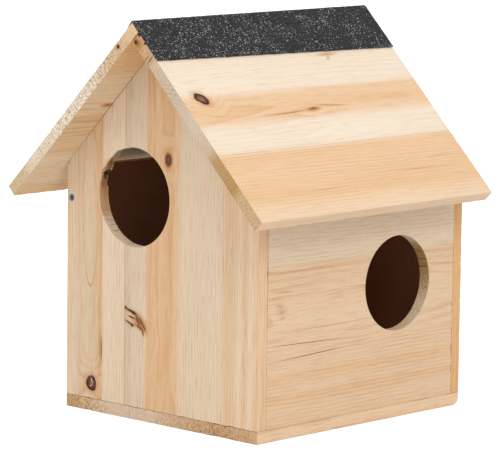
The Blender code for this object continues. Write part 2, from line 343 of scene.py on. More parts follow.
# What each mark in the wood looks like: its halo (tint, cover, reach), how far it bends the rings,
# its rim (where it ends, where it is full), its cover, and its colours from the middle to the rim
MARKS = {
    "bark_knot": (
        ("#E3AC78", 0.55, 1.9), 1.2, (1.08, 0.9), 1.0,
        ((0, "#8C6C5A"), (0.4, "#765444"), (0.66, "#523624"), (0.84, "#2E1A0A"), (1, "#7C5430")),
    ),
    "tight_knot": (
        ("#DDA468", 0.6, 1.8), 1.3, (1.2, 0.8), 0.95,
        ((0, "#7A4E42"), (0.3, "#6A402E"), (0.6, "#50301C"), (0.85, "#95663A"), (1, "#B98650")),
    ),
    "spike": (
        ("#E3AE78", 0.45, 1.9), 0.8, (1.3, 0.6), 0.95,
        ((0, "#92622F"), (0.4, "#A97840"), (0.7, "#B58654"), (1, "#C49A6A")),
    ),
    "knot_eye": (
        ("#D9A878", 0.4, 2.0), 0.5, (1.2, 0.7), 1.0,
        ((0, "#5A1E12"), (0.7, "#6E2C18"), (1, "#9A5A38")),
    ),
    # A hollow is painted shade: its near-black middle stands for the shade inside a pit or gap that
    # the surface doesn't have
    "hollow": (
        ("#C9AE90", 0.35, 1.9), 0, (1.25, 0.75), 0.95,
        ((0, "#24120A"), (0.6, "#3A2010"), (1, "#7B5A3E")),
    ),
    "splinter": (
        ("#B9A48C", 0.45, 2.0), 0.6, (1.12, 0.9), 0.9,
        ((0, "#DDBE9E"), (0.7, "#D5B490"), (1, "#C3A07C")),
    ),
    "fibre": (("#D9AA72", 0.25, 2.2), 0, (1.2, 0.6), 0.95, ((0, "#553213"), (1, "#84562A"))),
    "torn": ((), 0.3, (1.15, 0.5), 0.7, ((0, "#B98548"), (0.6, "#C8975C"), (1, "#D0A671"))),
    "streak": ((), 0.5, (1.4, 0.1), 0.7, ((0, "#AE7A49"), (1, "#C79463"))),
    "smudge": ((), 0.4, (1.5, 0.0), 0.7, ((0, "#B48F67"), (1, "#C9A47A"))),
    # A check is painted shade: a dark line that stands for the shade inside a crack that the
    # surface doesn't have
    "check": ((), 0, (1.2, 0.5), 0.8, ((0, "#5C3C22"), (1, "#80583A"))),
    "arch": ((), 0, (0.035, 0.01), 0.75, ((0, "#C1935E"), (1, "#C1935E"))),
}

# Noise in the wood: its pace (waves to the millimetre across, out and along), detail and roughness.
# In order: slow wander of the grain, waver of single rings, patches of strong rings, fibres, dark
# flecks along the grain, and the pores and saw marks of sawn ends.
NOISES = (
    ((0.030, 0.030, 0.0065), 2, 0.5),
    ((0.16, 0.16, 0.022), 2, 0.5),
    ((0.06, 0.06, 0.009), 1, 0.5),
    ((1.5, 1.5, 0.045), 3, 0.65),
    ((0.55, 0.55, 0.035), 2, 0.5),
    ((0.75, 0.42, 0.3), 5, 0.8),
)

# Settings that many nodes share: a smooth step, a blend of two colours and a tint by a colour
EASED = {"interpolation_type": "SMOOTHSTEP"}
BLENDED = {"out": 2, "data_type": "RGBA"}
TINTED = {"out": 2, "data_type": "RGBA", "blend_type": "MULTIPLY"}


def fir_material(name, board, look, settings):
    """Planed fir: soft, pale and straight-grained, with warm heartwood bands and thin darker rings.

    It gives the eye broad cream and honey bands, fine lines that run with the grain, arcs and a
    rougher, greyer look on sawn ends, and small brown knots with an orange halo that the lines bend
    round. Distances are millimetres across the grain, out of the board's face and along it.
    """
    node, surface, made = new_material(name)
    place = node("TexCoord", out="Object")
    normal = node("TexCoord", out="Normal")
    sides = []
    for direction in (board.across, board.outward, board.along):
        stretch = tuple(direction / MM)
        measured = node("VectorMath.DOT_PRODUCT", [place, stretch], out="Value")
        sides.append(node("Math.ADD", [measured, -float(direction @ board.origin)]))
    a, d, g = sides
    where = node("CombineXYZ", sides)
    low, span = float(board.low[0]), float(board.high[0] - board.low[0])
    late_wood = (*settings.late_wood, 1.0)

    # The seed shifts only the slowest noise. Rings wander by 7 mm slowly and by 1 mm quickly
    noises = []
    for pace, detail, roughness in NOISES:
        shift = (0.0 if noises else look["seed"], 0.0, 0.0)
        stretched = node("VectorMath.MULTIPLY_ADD", [where, pace, shift])
        feeds = {"Vector": stretched, "Scale": 1.0, "Detail": detail, "Roughness": roughness}
        noises.append(node("TexNoise", feeds))
    slow, quick, patch, fibre, fleck, speck = noises
    slow_shift = node("Math.MULTIPLY_ADD", [slow, 14.0, -7.0])
    wander = node("Math.MULTIPLY_ADD", [quick, 2.4, slow_shift])

    # Each stave is sawn from its own log: where its pith lies, how deep, and how its rings taper. A
    # colour band holds these three numbers for each stave, brought into 0 to 1 and back after it
    share = node("MapRange", [a, low, low + span])
    stave_codes = [
        ((start - low) / span, (((pith - low) / span + 1.5) / 4, deep / 100, taper * 5 + 0.5, 1.0))
        for start, pith, deep, taper in look["staves"]
    ]
    log = node("ValToRGB", [share], stops=stave_codes)
    log.node.color_ramp.interpolation = "CONSTANT"
    log = node("SeparateColor", [log])
    pith = node("Math.MULTIPLY_ADD", [log, 4 * span, low - 1.5 * span])
    depth = node("Math.MULTIPLY_ADD", [log.node.outputs[1], 100.0, d])
    taper = node("Math.MULTIPLY_ADD", [log.node.outputs[2], 0.2, -0.1])
    beside = node("Math.SUBTRACT", [a, pith])
    square = node("Math.MULTIPLY", [depth, depth])
    square = node("Math.MULTIPLY_ADD", [beside, beside, square])
    radius = node("Math.SQRT", [square])
    climb = node("Math.MULTIPLY_ADD", [taper, g, radius])
    path = node("Math.MULTIPLY_ADD", [wander, 0.5, climb])

    # Marks: an ellipsoid each, with the rings pushed aside round it. Past the place where a mark
    # stops, it counts as far away
    found = []
    for kind, centre_a, centre_g, half_a, half_g, turn, under, half_d, *start in look["marks"]:
        centre = (centre_a, under, centre_g)
        turned = {"Vector": where, "Center": centre, "Angle": math.radians(turn)}
        turned = node("VectorRotate", turned, rotation_type="Y_AXIS")
        moved = node("VectorMath.SUBTRACT", [turned, centre])
        size = (1 / half_a, 1 / half_d, 1 / half_g)
        scaled = node("VectorMath.MULTIPLY", [moved, size])
        reach = node("VectorMath.LENGTH", [scaled], out="Value")
        ragged = 0.25 if kind == "arch" else 0.8
        away = node("Math.MULTIPLY_ADD", [quick, ragged, reach])
        away = node("Math.SUBTRACT", [away, ragged / 2])
        push = MARKS[kind][1] * half_a
        if push:
            bend = node("MapRange", [away, 0.3, 4.0, push, 0.0], **EASED)
            path = node("Math.ADD", [path, bend])
        if start:
            beyond = node("Math.LESS_THAN", [a, start[0]])
            away = node("Math.MULTIPLY_ADD", [beyond, 100.0, away])
        found.append((kind, away))

    # Rings: each darkens slowly into late wood and ends sharply, more strongly in some patches
    turns = node("Math.DIVIDE", [path, settings.ring_spacing / MM])
    phase = node("Math.FRACT", [turns])
    shades = ((0.0, 0.30), (0.10, 0.04), (0.55, 0.10), (0.84, 0.65), (0.94, 1.0), (1.0, 0.30))
    late = node("ValToRGB", [phase], stops=[(at, (v, v, v, 1.0)) for at, v in shades])
    strength = node("MapRange", [patch, 0.3, 0.7, 0.15 * look["lines"], look["lines"]], **EASED)
    lines = node("Math.MULTIPLY", [late, strength])

    # Broad tones across the board, each a blend of pale sapwood, honey heartwood and weathered grey
    tint = np.array(linear(look["tint"])[:3])
    pale, honey, grey = (
        np.array(tone) * tint for tone in (settings.pale, settings.honey, settings.grey)
    )
    blends = []
    for at, warm, dull in look["tones"]:
        mixed = pale * (1 - warm - dull) + honey * warm + grey * dull
        blends.append(((at - low) / span, (*mixed.tolist(), 0.5 + warm / 2)))
    toned = node("Math.MULTIPLY_ADD", [wander, 0.22, a])
    tone_share = node("MapRange", [toned, low, low + span])
    colour = node("ValToRGB", [tone_share], stops=blends)
    lines = node("Math.MULTIPLY", [lines, colour.node.outputs[1]])
    colour = node("Mix", {0: lines, 6: colour, 7: late_wood}, **TINTED)

    # Fine fibres and short dark flecks along the grain
    fibres = node("ValToRGB", [fibre], stops=((0.30, "#E0D2BD"), (0.50, "#FFFFFF")))
    colour = node("Mix", {0: look["fibre"], 6: colour, 7: fibres}, **TINTED)
    flecks = node("MapRange", [fleck, 0.64, 0.78, 0.0, 0.4], **EASED)
    colour = node("Mix", {0: flecks, 6: colour, 7: linear("#B98E62")}, **BLENDED)

    # Sawn ends: their own tones along the end, ring lines, and open pores in some stretches
    facing = node("VectorMath.DOT_PRODUCT", [normal, tuple(board.along)], out="Value")
    facing = node("Math.ABSOLUTE", [facing])
    end = node("MapRange", [facing, 0.35, 0.85, 0.0, 1.0], **EASED)
    ends = [((at - low) / span, (*linear(code)[:3], pores)) for at, code, pores in look["ends"]]
    sawn = node("ValToRGB", [tone_share], stops=ends)
    pores = sawn.node.outputs[1]
    arcs = node("Math.MULTIPLY", [late, 0.3])
    sawn = node("Mix", {0: arcs, 6: sawn, 7: late_wood}, **TINTED)
    pore_stops = ((0.37, "#5E3E22"), (0.43, "#BC9A70"), (0.49, "#F2E6D2"), (0.60, "#FFFFFF"))
    specks = node("ValToRGB", [speck], stops=pore_stops)
    sawn = node("Mix", {0: pores, 6: sawn, 7: specks}, **TINTED)
    colour = node("Mix", {0: end, 6: colour, 7: sawn}, **BLENDED)

    # The marks' own colours over the wood, each after its halo. The dark middles of hollows and
    # checks are painted shade
    for kind, away in found:
        halo, _, (outer, full), most, stops = MARKS[kind]
        if halo:
            tinge, halo_cover, reach = halo
            cover = node("MapRange", [away, 0.8, reach, halo_cover, 0.0], **EASED)
            colour = node("Mix", {0: cover, 6: colour, 7: linear(tinge)}, **TINTED)
        if kind == "arch":
            away = node("Math.SUBTRACT", [away, 0.96])
            away = node("Math.ABSOLUTE", [away])
        inner = node("ValToRGB", [away], stops=stops)
        cover = node("MapRange", [away, full, outer, most, 0.0], **EASED)
        colour = node("Mix", {0: cover, 6: colour, 7: inner}, **BLENDED)

    # Glued joints between staves are thin dark lines
    for seam, cover in look["seams"]:
        gap = node("Math.SUBTRACT", [a, seam])
        gap = node("Math.ABSOLUTE", [gap])
        dark = node("MapRange", [gap, 0.08, 0.45, cover, 0.0], **EASED)
        colour = node("Mix", {0: dark, 6: colour, 7: linear("#9A7550")}, **TINTED)

    # Painted shade: the faces that look into the house take a dark brown that stands for the little
    # light inside it
    if look["inside"]:
        feeds = [normal, tuple(board.outward)]
        turned = node("VectorMath.DOT_PRODUCT", feeds, out="Value")
        inner = node("MapRange", [turned, -0.85, -0.97, 0.0, look["inside"]], **EASED)
        colour = node("Mix", {0: inner, 6: colour, 7: (*settings.shaded_cabin, 1.0)}, **BLENDED)

    # Relief in millimetres: hard late wood stands proud, fibres and saw marks are cut in
    relief = node("Math.MULTIPLY", [lines, 0.05])
    relief = node("Math.MULTIPLY_ADD", [fibre, 0.10, relief])
    saw_cut = node("Math.MULTIPLY", [speck, end])
    relief = node("Math.MULTIPLY_ADD", [saw_cut, 0.5, relief])
    bump = node("Bump", {"Strength": 1.0, "Distance": MM, "Height": relief})
    rough = node("MapRange", [end, 0.0, 1.0, 0.6, 0.85])
    feed(
        surface,
        {"Base Color": colour, "Roughness": rough, "Specular IOR Level": 0.2, "Normal": bump},
    )
    return made


# Looks of the boards, in millimetres. Ends are (across, colour, share of open pores). Tones are
# (across, share of honey, share of grey). Staves are (start, pith across, pith depth, taper). Seams
# are (across, cover). Marks are (kind, across, along, half width, half length, turn in degrees,
# depth, half depth), and where a mark stops at a stave's side, that place across. This half depth
# goes through the board.
THROUGH = 400.0

# Inside is how far the painted shade of the dim house covers the faces that look into it
FRONT_LOOK = {
    "seed": 1.3, "tint": "#FCF7F0", "lines": 0.62, "fibre": 0.8, "inside": 0.9,
    "ends": ((-96, "#F6E6CC", 0.2), (96, "#F6E6CC", 0.2)),
    "tones": (
        (-96, 0.3, 0.2), (-88, 0.1, 0.4), (-82, 0.35, 0.5), (-74, 0.15, 0.6), (-66, 0.45, 0.4),
        (-62, 0.7, 0.2), (-59.6, 0.9, 0), (-58.4, 0.15, 0), (-50, 0.05, 0.05), (-36.6, 0.12, 0.05),
        (-35.4, 0.1, 0.75), (-31, 0.05, 0.95), (-28, 0.05, 0.55), (-22, 0, 0.7), (-15, 0.15, 0.35),
        (-12.4, 0.85, 0), (-4, 0.7, 0), (8, 0.8, 0), (17, 0.62, 0), (21, 0.15, 0.15),
        (34, 0.02, 0.3), (45, 0.2, 0.1), (50, 0, 0.3), (60, 0.1, 0.1), (66, 0.55, 0.1),
        (74, 0.42, 0.05), (78, 0.1, 0), (83, 0.65, 0), (88, 0.15, 0), (96, 0.6, 0),
    ),
    "staves": (
        (-96, -71, 15.3, -0.029), (-59, -140, 24, 0.004), (-35.8, 60, 30, 0), (-12.7, 6, 32, 0.012),
        (20.4, -60, 26, 0), (61.5, 160, 22, 0.006),
    ),
    "seams": ((-59, 0.15), (-35.8, 0.45), (61.5, 0.15)),
    "marks": (
        ("arch", -71.4, 150, 8.6, 60, 0, 0, THROUGH),
        ("bark_knot", -70.1, 20.2, 5.6, 6, 0, 0, THROUGH),
        ("hollow", -72.4, 20.6, 0.7, 3.6, 8, 0, 4), ("hollow", -68, 17, 2.6, 0.8, -20, 0, 4),
        ("splinter", -69.4, 22.4, 0.5, 2.6, 20, 0, 4),
        ("splinter", -70.4, 18.4, 1.6, 0.4, 25, 0, 4),
        ("tight_knot", 7.2, 189.8, 3.6, 5.6, 0, 0, THROUGH),
        ("splinter", -31, 73.6, 7.6, 4.6, -17, 0, 4, -35.8),
        ("spike", -19.8, 70.4, 7.4, 3.9, -44, 0, THROUGH),
        ("fibre", -22.8, 72.2, 0.8, 3.9, 26, 0, 4), ("fibre", -19.6, 72.2, 4.2, 0.7, -44, 0, 4),
        ("fibre", -20.4, 67, 4.6, 0.7, -24, 0, 4), ("fibre", -15.9, 67.8, 2.6, 0.7, -56, 0, 4),
        ("fibre", -17.2, 63.8, 0.8, 2.8, 16, 0, 4),
        ("hollow", -29.6, 78.1, 6.6, 0.9, -17, 0, 4, -35.8),
        ("hollow", -26.6, 77.2, 2.6, 1.1, -22, 0, 4),
        ("hollow", -31.4, 69.7, 4.8, 0.62, -18, 0, 4, -35.8),
        ("hollow", -28.9, 73.7, 4, 0.6, -13, 0, 4), ("hollow", -35, 80, 1.5, 1.6, 0, 0, 4, -35.8),
        ("hollow", -28, 68, 1.3, 1, -17, 0, 4), ("streak", -61.4, 44, 0.9, 20, 0, 0, THROUGH),
        ("fibre", -59.8, 46.5, 0.55, 9, 1, 0, 4), ("torn", -52.2, 184.6, 9, 2.6, 44, -5.5, 4),
        ("torn", -61.6, 166, 2.6, 18, 0, -5.5, 4.2),
        ("spike", -55.2, 181.6, 2.4, 5.4, -38, -5, 4.2),
        ("streak", -47, 189.4, 3.4, 6, -56, -5, 4.2), ("streak", -61.8, 165, 2.4, 6, -6, -5, 4.2),
        ("hollow", -60.8, 174.2, 1.7, 5.2, -18, -6.4, 3.4),
        ("streak", -59.6, 147.4, 3, 0.6, 0, -5, 4.6), ("streak", -57.6, 143.6, 3, 0.6, 0, -5, 4.6),
        ("streak", -55.6, 140.4, 3, 0.6, 0, -5, 4.6), ("streak", -53, 137.2, 3, 0.5, 0, -5, 4.6),
        ("streak", -49.6, 133.4, 3, 0.5, 0, -5, 4.6), ("smudge", -34.8, 88, 0.9, 8, 0, 0, 4, -35.8),
        ("smudge", -31.6, 86, 0.6, 5, -4, 0, 4),
    ),
}

BACK_LOOK = {
    "seed": 7.9, "tint": "#FCF7F0", "lines": 0.6, "fibre": 0.7, "inside": 0.9,
    "ends": ((-96, "#F0DEC2", 0.3), (96, "#F0DEC2", 0.3)),
    "tones": (
        (-96, 1, 0), (-92, 1, 0), (-88, 0.7, 0), (-52, 0.35, 0), (-48, 0.1, 0.1), (-20, 0.05, 0.25),
        (-2, 0.15, 0.1), (2, 0.75, 0), (30, 0.6, 0), (44, 0.2, 0), (48, 0.05, 0.15), (80, 0.1, 0.1),
        (90, 0.4, 0), (93, 1, 0), (96, 1, 0),
    ),
    "staves": ((-96, -200, 20, 0.003), (-50, -24, 17, -0.022), (0, 90, 28, 0), (46, 74, 26, 0.014)),
    "seams": ((-50, 0.4), (0, 0.5), (46, 0.4)),
    "marks": (
        ("tight_knot", -66, 118, 4, 5.2, 0, 0, 4), ("bark_knot", 26, 62, 4.6, 6.4, 0, 0, 4),
        ("tight_knot", 70, 150, 2.4, 3.6, 0, 0, 4), ("streak", -24, 200, 1.2, 26, 0, 0, 4),
    ),
}

SIDE_LOOK = {
    "seed": 3.1, "tint": "#F6F0E7", "lines": 0.62, "fibre": 0.7, "inside": 0.9,
    "ends": (
        (9, "#E6CFAE", 0.3), (82, "#E6D2B4", 0.3), (92, "#D8BC94", 0.5), (104, "#C6A172", 0.6),
        (122, "#C09A6A", 0.6), (128, "#E0CDB0", 0.4), (178, "#E6CFAE", 0.3),
    ),
    "tones": (
        (9, 0.5, 0), (20, 0.35, 0), (29.5, 0.62, 0), (34, 0.35, 0), (43.7, 0.68, 0), (48, 0.38, 0),
        (62, 0.45, 0), (80, 0.35, 0), (100, 0.4, 0), (114, 0.45, 0), (116, 0.4, 0), (118, 0.75, 0),
        (120, 0.3, 0), (125, 0.05, 0.05), (145, 0, 0.05), (178, 0, 0.1),
    ),
    "staves": ((9, -60, 24, 0.004), (62, 85, 40, 0.02), (121, 300, 24, -0.01)),
    "seams": (),
    "marks": (
        ("check", 66, -44.5, 0.34, 44, 1.6, 0, 3), ("check", 57, -41.8, 0.34, 49, -2, 0, 3),
        ("smudge", 90, -69, 2.4, 6, 0, 0, 3), ("smudge", 94.5, -71, 1.6, 4, 8, 0, 3),
        ("smudge", 86, -68, 1.2, 3.4, -8, 0, 3), ("fibre", 112, 85, 0.5, 3.4, 0, -5, 4.6),
        ("fibre", 106, 85, 0.4, 3.4, 0, -5, 4.6), ("fibre", 118, 83, 0.4, 3.4, 0, -5, 4.6),
        ("smudge", 104, -66, 0.9, 12, 2, 0, 3), ("smudge", 75.7, -20, 0.6, 60, 0, 0, 3),
        ("smudge", 100, 20, 0.7, 26, 3, 0, 3), ("smudge", 83, 66, 0.8, 16, -3, 0, 3),
    ),
}

DOOR_LOOK = {
    "seed": 5.7, "tint": "#FAF5EE", "lines": 0.6, "fibre": 0.7, "inside": 0.9,
    "ends": ((9, "#E6CFAE", 0.3), (178, "#E6CFAE", 0.3)),
    "tones": (
        (9, 0.2, 0.1), (40, 0.1, 0.15), (58, 0.25, 0), (63, 0.75, 0), (88, 0.6, 0), (100, 0.35, 0),
        (108, 0.1, 0.1), (140, 0.05, 0.2), (176, 0.3, 0),
    ),
    "staves": ((9, -70, 25, 0), (60, 84, 19, 0.03), (112, 260, 22, 0.006)),
    "seams": ((112, 0.35),),
    "marks": (
        ("tight_knot", 84, 46, 3.4, 4.6, 0, 0, 4), ("tight_knot", 138, 66, 1.8, 2.6, 0, 0, THROUGH),
        ("streak", 30, 20, 1, 40, 0, 0, THROUGH),
    ),
}

RIGHT_ROOF_LOOK = {
    "seed": 9.2, "tint": "#FFFFFF", "lines": 0.4, "fibre": 0.5, "inside": 0,
    "ends": (
        (0, "#D1AD82", 0.2), (22, "#D4B48C", 0.3), (32, "#CDAE86", 0.35), (36, "#D4C0A8", 0.1),
        (60, "#D3BEAA", 0.25), (90, "#DBC9B5", 0.1), (112, "#D6C0A6", 0.15), (122, "#C49F71", 0.15),
        (146, "#C09966", 0.3), (154, "#D1B48D", 0.2), (179, "#D1B48D", 0.25),
    ),
    "tones": (
        (0, 0.4, 0), (34, 0.15, 0), (60, 0.02, 0), (68, 0.15, 0), (73, 0.7, 0), (84, 0.85, 0),
        (93, 0.65, 0), (98, 0.1, 0), (112, 0, 0), (119, 0.15, 0), (124, 0.85, 0), (140, 0.75, 0),
        (160, 0.9, 0), (168, 0.6, 0), (179, 0.5, 0),
    ),
    "staves": ((0, -80, 24, 0), (48, 84, 30, 0.012), (120, 230, 26, 0.008)),
    "seams": ((120.5, 0.25),),
    "marks": (
        ("bark_knot", 71, -103.8, 4.6, 6.7, -32, 0, THROUGH),
        ("spike", 88.6, -4, 1.9, 7, 3, 0, THROUGH), ("fibre", 88.2, -3.6, 0.7, 3.2, 4, 0, 4),
        ("fibre", 90, -26, 0.3, 15, 4, 0, 4), ("smudge", 86, 8, 0.8, 9, -8, 0, 4),
        ("streak", 90, -34, 1.2, 34, 2, 0, THROUGH), ("streak", 86.8, 16, 1, 20, -5, 0, THROUGH),
        ("streak", 41, 46.5, 2.4, 13, 0, 0, THROUGH), ("streak", 150, 62, 0.45, 40, -1, 0, 4),
        ("streak", 141, 96, 0.4, 22, 0, 0, 4), ("streak", 158, -40, 0.35, 30, 1, 0, 4),
        ("smudge", 44.4, 45, 3.6, 1.5, -44, 0, 4), ("spike", 14, -122.5, 4.6, 4, 0, -5.4, 3.4),
        ("knot_eye", 12.4, -122.5, 1.7, 4, 0, -6.2, 1.7),
        ("hollow", 10.5, -122.5, 1.7, 1.6, 0, -0.6, 1),
        ("hollow", 19, -122.5, 1.1, 1.4, 0, -0.5, 0.8), ("fibre", 30.5, -121, 0.5, 3, 0, -4.5, 4.5),
        ("fibre", 27.5, -121, 0.4, 3, 0, -6, 3.5),
    ),
}

LEFT_ROOF_LOOK = {
    "seed": 12.4, "tint": "#FFFCF0", "lines": 0.75, "fibre": 0.7, "inside": 0,
    "ends": (
        (0, "#E8CCA6", 0.2), (24, "#DDC3A3", 0.5), (40, "#E6D3BA", 0.8), (50, "#EADCC8", 0.7),
        (70, "#F2E8DA", 0.65), (98, "#F5ECDC", 0.75), (118, "#EFE3D0", 0.5), (150, "#EAD9C0", 0.3),
        (160, "#D8C4A2", 0.35), (179, "#D6C29E", 0.3),
    ),
    "tones": (
        (0, 0.8, 0), (20, 0.8, 0), (44, 0.65, 0), (52, 0.2, 0), (70, 0.25, 0), (88, 0.35, 0),
        (110, 0.5, 0), (132, 0.45, 0), (136, 0.15, 0), (158, 0.2, 0), (164, 0.05, 0), (171, 0.4, 0),
        (179, 0.55, 0),
    ),
    "staves": ((0, -60, 26, 0), (50, 92, 34, -0.012), (134, 260, 24, 0.004)),
    "seams": ((50, 0.35), (134.6, 0.35)),
    "marks": (
        ("spike", 80.3, -96.2, 1.9, 5.4, 0, 0, THROUGH), ("streak", 84, -70, 1, 34, 0, 0, THROUGH),
        ("check", 66, -92.4, 46, 0.34, 0, -9, 1.2),
        ("knot_eye", 21.9, -122.5, 1.7, 3.6, 0, -2.9, 1.6),
        ("fibre", 8.5, -110, 3, 0.9, 0, -8.5, 2), ("tight_knot", 112, 40, 3.6, 5.4, 0, 0, THROUGH),
    ),
}

FLOOR_LOOK = {
    "seed": 15.8, "tint": "#FCF6EE", "lines": 0.6, "fibre": 0.7, "inside": 0.9,
    "ends": (
        (-96, "#C7A67E", 0.4), (-84, "#CEB088", 0.6), (-80, "#DABF9B", 0.95), (-66, "#DEC6A7", 0.7),
        (-50, "#DEC7B2", 0.25), (-10, "#DFC8B4", 0.25), (12, "#D8BD9F", 0.5), (40, "#D3B491", 0.7),
        (60, "#D0B08B", 0.8), (96, "#D6B995", 0.5),
    ),
    "tones": (
        (-96, 0.35, 0.1), (-50, 0.55, 0), (-10, 0.3, 0.1), (0, 0.75, 0), (40, 0.65, 0),
        (52, 0.2, 0.1), (96, 0.4, 0),
    ),
    "staves": ((-96, -180, 18, 0), (-30, 10, 22, 0.012), (50, 200, 20, 0)),
    "seams": ((-30, 0.4), (50, 0.4)),
    "marks": (
        ("tight_knot", -58, 60, 3.6, 5, 0, 0, THROUGH),
        ("bark_knot", 22, -20, 4.2, 5.6, 0, 0, THROUGH),
    ),
}


def lathe(name, radii, heights, point, outward, columns):
    """Turns a profile about an axis through a point, and closes it with a pole at each end.

    Radii and heights, in millimetres, may be rows, or rows by columns where they change round the
    axis. The point is in metres.
    """
    axis = Vector(outward).normalized()
    side = axis.orthogonal().normalized()
    other = axis.cross(side)
    turn = np.arange(columns) * FULL_TURN / columns
    radii, heights = (np.array(rows, float).reshape(len(rows), -1, 1) for rows in (radii, heights))
    round_axis = np.cos(turn)[:, None] * np.array(side) + np.sin(turn)[:, None] * np.array(other)
    points = radii * round_axis + heights * np.array(axis)
    points = MM * points + np.array(point)
    return mesh_object(name, *closed_grid(points, False))


def countersunk_screw(name, head, shank, length, point, outward):
    """A wood screw: a cross recess in a flat head, a 45 degree cone, then a thread up to its point.

    The recess is a cross of two bars that deepens to the middle. The thread is a ridge whose phase
    is the depth over the pitch minus the turn over a full turn. Sizes are millimetres.
    """
    columns, pitch, ridge_height = 48, 1.15, 0.28
    turn = np.arange(columns) * FULL_TURN / columns
    face = np.linspace(0, 0.93, 15)[:, None] * head / 2
    across = np.minimum(np.abs(face * np.sin(turn)), np.abs(face * np.cos(turn)))
    slot = np.clip((0.34 - across) / 0.16, 0, 1) * np.clip((0.62 * head / 2 - face) / 0.3, 0, 1)
    recess = -slot * (0.55 + 0.5 * np.clip(1 - face / (0.3 * head), 0, 1))
    recess[0] = recess[1].min()
    rim = np.array([0.965, 0.99, 1.0, 1.0, 0.985])[:, None] * head / 2
    rim_drop = np.array([-0.02, -0.07, -0.15, -0.28, -0.36])[:, None]
    cone = np.linspace(0.9, 0, 6)[:, None]
    cone_radius = shank / 2 + cone * (head - shank) / 2
    cone_drop = -0.4 - (1 - cone) * (head - shank) / 2
    start = 0.4 + (head - shank) / 2
    down = np.linspace(start + 0.3, length - 0.1, int((length - start) * 7))[:, None]
    phase = (down / pitch - turn / FULL_TURN) % 1.0
    ridge = ridge_height * np.clip(1 - np.abs(phase - 0.5) / 0.22, 0, 1)
    body = (shank / 2 - ridge_height) * np.clip((length - down) / 4.0, 0.04, 1)
    thread = body + (
        ridge * np.clip((down - start - 1) / 1.5, 0, 1) * np.clip((length - down) / 1.5, 0, 1)
    )
    flat = np.zeros((1, columns))
    radii = np.concatenate([face + flat, rim + flat, cone_radius + flat, thread, flat])
    heights = np.concatenate(
        [recess, rim_drop + flat, cone_drop + flat, -down + flat, flat - length]
    )
    return lathe(name, radii, heights, point, outward, columns)


def bore(obj, holes):
    """Cuts a countersunk hole for each (point in metres, way out, head, shank, depth)."""
    cutters = []
    for point, outward, head, shank, length in holes:
        radii = [0, head / 2 + 1.0, head / 2 + 1.0, shank / 2, shank / 2, 0]
        heights = [1.0, 1.0, 0.9, 0.1 - (head - shank) / 2, -length, -length]
        cutter = lathe(obj.name + "_cutter", radii, heights, point, outward, 40)
        cutter.data.set_sharp_from_angle(angle=math.radians(30))
        modifier = obj.modifiers.new("bore", "BOOLEAN")
        modifier.solver = "EXACT"
        modifier.object = cutter
        cutters.append(cutter)
    bpy.context.view_layer.update()
    cut = bpy.data.meshes.new_from_object(obj.evaluated_get(bpy.context.evaluated_depsgraph_get()))
    obj.modifiers.clear()
    obj.data = cut
    for cutter in cutters:
        bpy.data.objects.remove(cutter)


def finish_piece(obj, material, body, slot, *nodes):
    """Gives a piece its material and the body it rides on, and hides the nodes it stands for. Its
    slot is not used.
    """
    obj.data.materials.clear()
    obj.data.materials.append(material)
    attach(obj, body)
    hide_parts(*nodes)


def make_board(
    node, title, look, slot, axes, body="house", hole=None, torn=(), chips=(), holes=(), **shape
):
    """Makes one board's surface, bores its screw holes and gives it its own piece of fir."""
    settings = bpy.context.scene.house_fir
    board = Board(node, *axes, **shape)
    obj = mesh_object(
        title, *board_surface(board, settings, int(look["seed"] * 10), hole, chips, torn)
    )
    if holes:
        bore(obj, holes)
    finish_piece(obj, fir_material("planed_fir_" + title, board, look, settings), body, slot, node)


def screw_place(node, outward):
    """Where a screw's head lies, in metres: the middle of its box's face that looks outward."""
    low, high = (np.array(corner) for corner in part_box(node))
    way = np.array(outward, float)
    middle = (low + high) / 2
    return tuple(
        middle + way * (np.where(way > 0, high, low) @ np.abs(way) * way.sum() - middle @ way)
    )


# The screws and the way their heads look, and in millimetres their heads, bores and shanks
PIVOT_SCREWS = (("pivot_screw_front", (0, -1, 0)), ("pivot_screw_back", (0, 1, 0)))
FLOOR_SCREWS = tuple(
    ("floor_screw_" + place, (0, 0, -1))
    for place in ("front_left", "front_right", "back_left", "back_right", "side_front", "side_back")
)
PIVOT_HEAD, FLOOR_HEAD = 5.2, 5.6
PIVOT_BORE, FLOOR_BORE = (5.4, 2.9, 7), (5.9, 3.0, 12)  # head, shank and depth
SCREW_SHANK, SCREW_LENGTH = 2.6, 29.5


def color_property(title, note, code):
    """A colour that the sidebar shows, given as sRGB hex."""
    return bpy.props.FloatVectorProperty(
        name=title,
        description=note,
        subtype="COLOR",
        size=3,
        min=0.0,
        max=1.0,
        default=linear(code)[:3],
    )


def length_property(title, note, millimetres):
    """A length that the sidebar shows, given in millimetres."""
    return bpy.props.FloatProperty(
        name=title, description=note, default=millimetres * MM, min=0.0, unit="LENGTH", precision=5
    )


class HouseFir(bpy.types.PropertyGroup):
    """Sizes and colours of the planed fir."""

    pale: color_property("Pale sapwood", "Colour of the lightest bands", "#E9DAC6")
    honey: color_property("Honey heartwood", "Colour of the warm bands", "#DFB587")
    grey: color_property("Weathered fir", "Colour of dull greyish bands", "#D8C8B2")
    late_wood: color_property("Late wood", "Tint of the thin ring lines", "#DEAE79")
    # Painted shade: a dark brown that stands for the dim light inside the house, on the faces that
    # look into it
    shaded_cabin: color_property("Cabin side", "Colour of the faces that look into the cabin", "#8A451A")
    ring_spacing: length_property("Ring spacing", "Width of one year's growth", 2.7)
    edge_radius: length_property("Edge radius", "How far the sawn edges are sanded round", 0.22)
    point_spacing: length_property(
        "Point spacing", "Distance between points along an outline", 1.25
    )


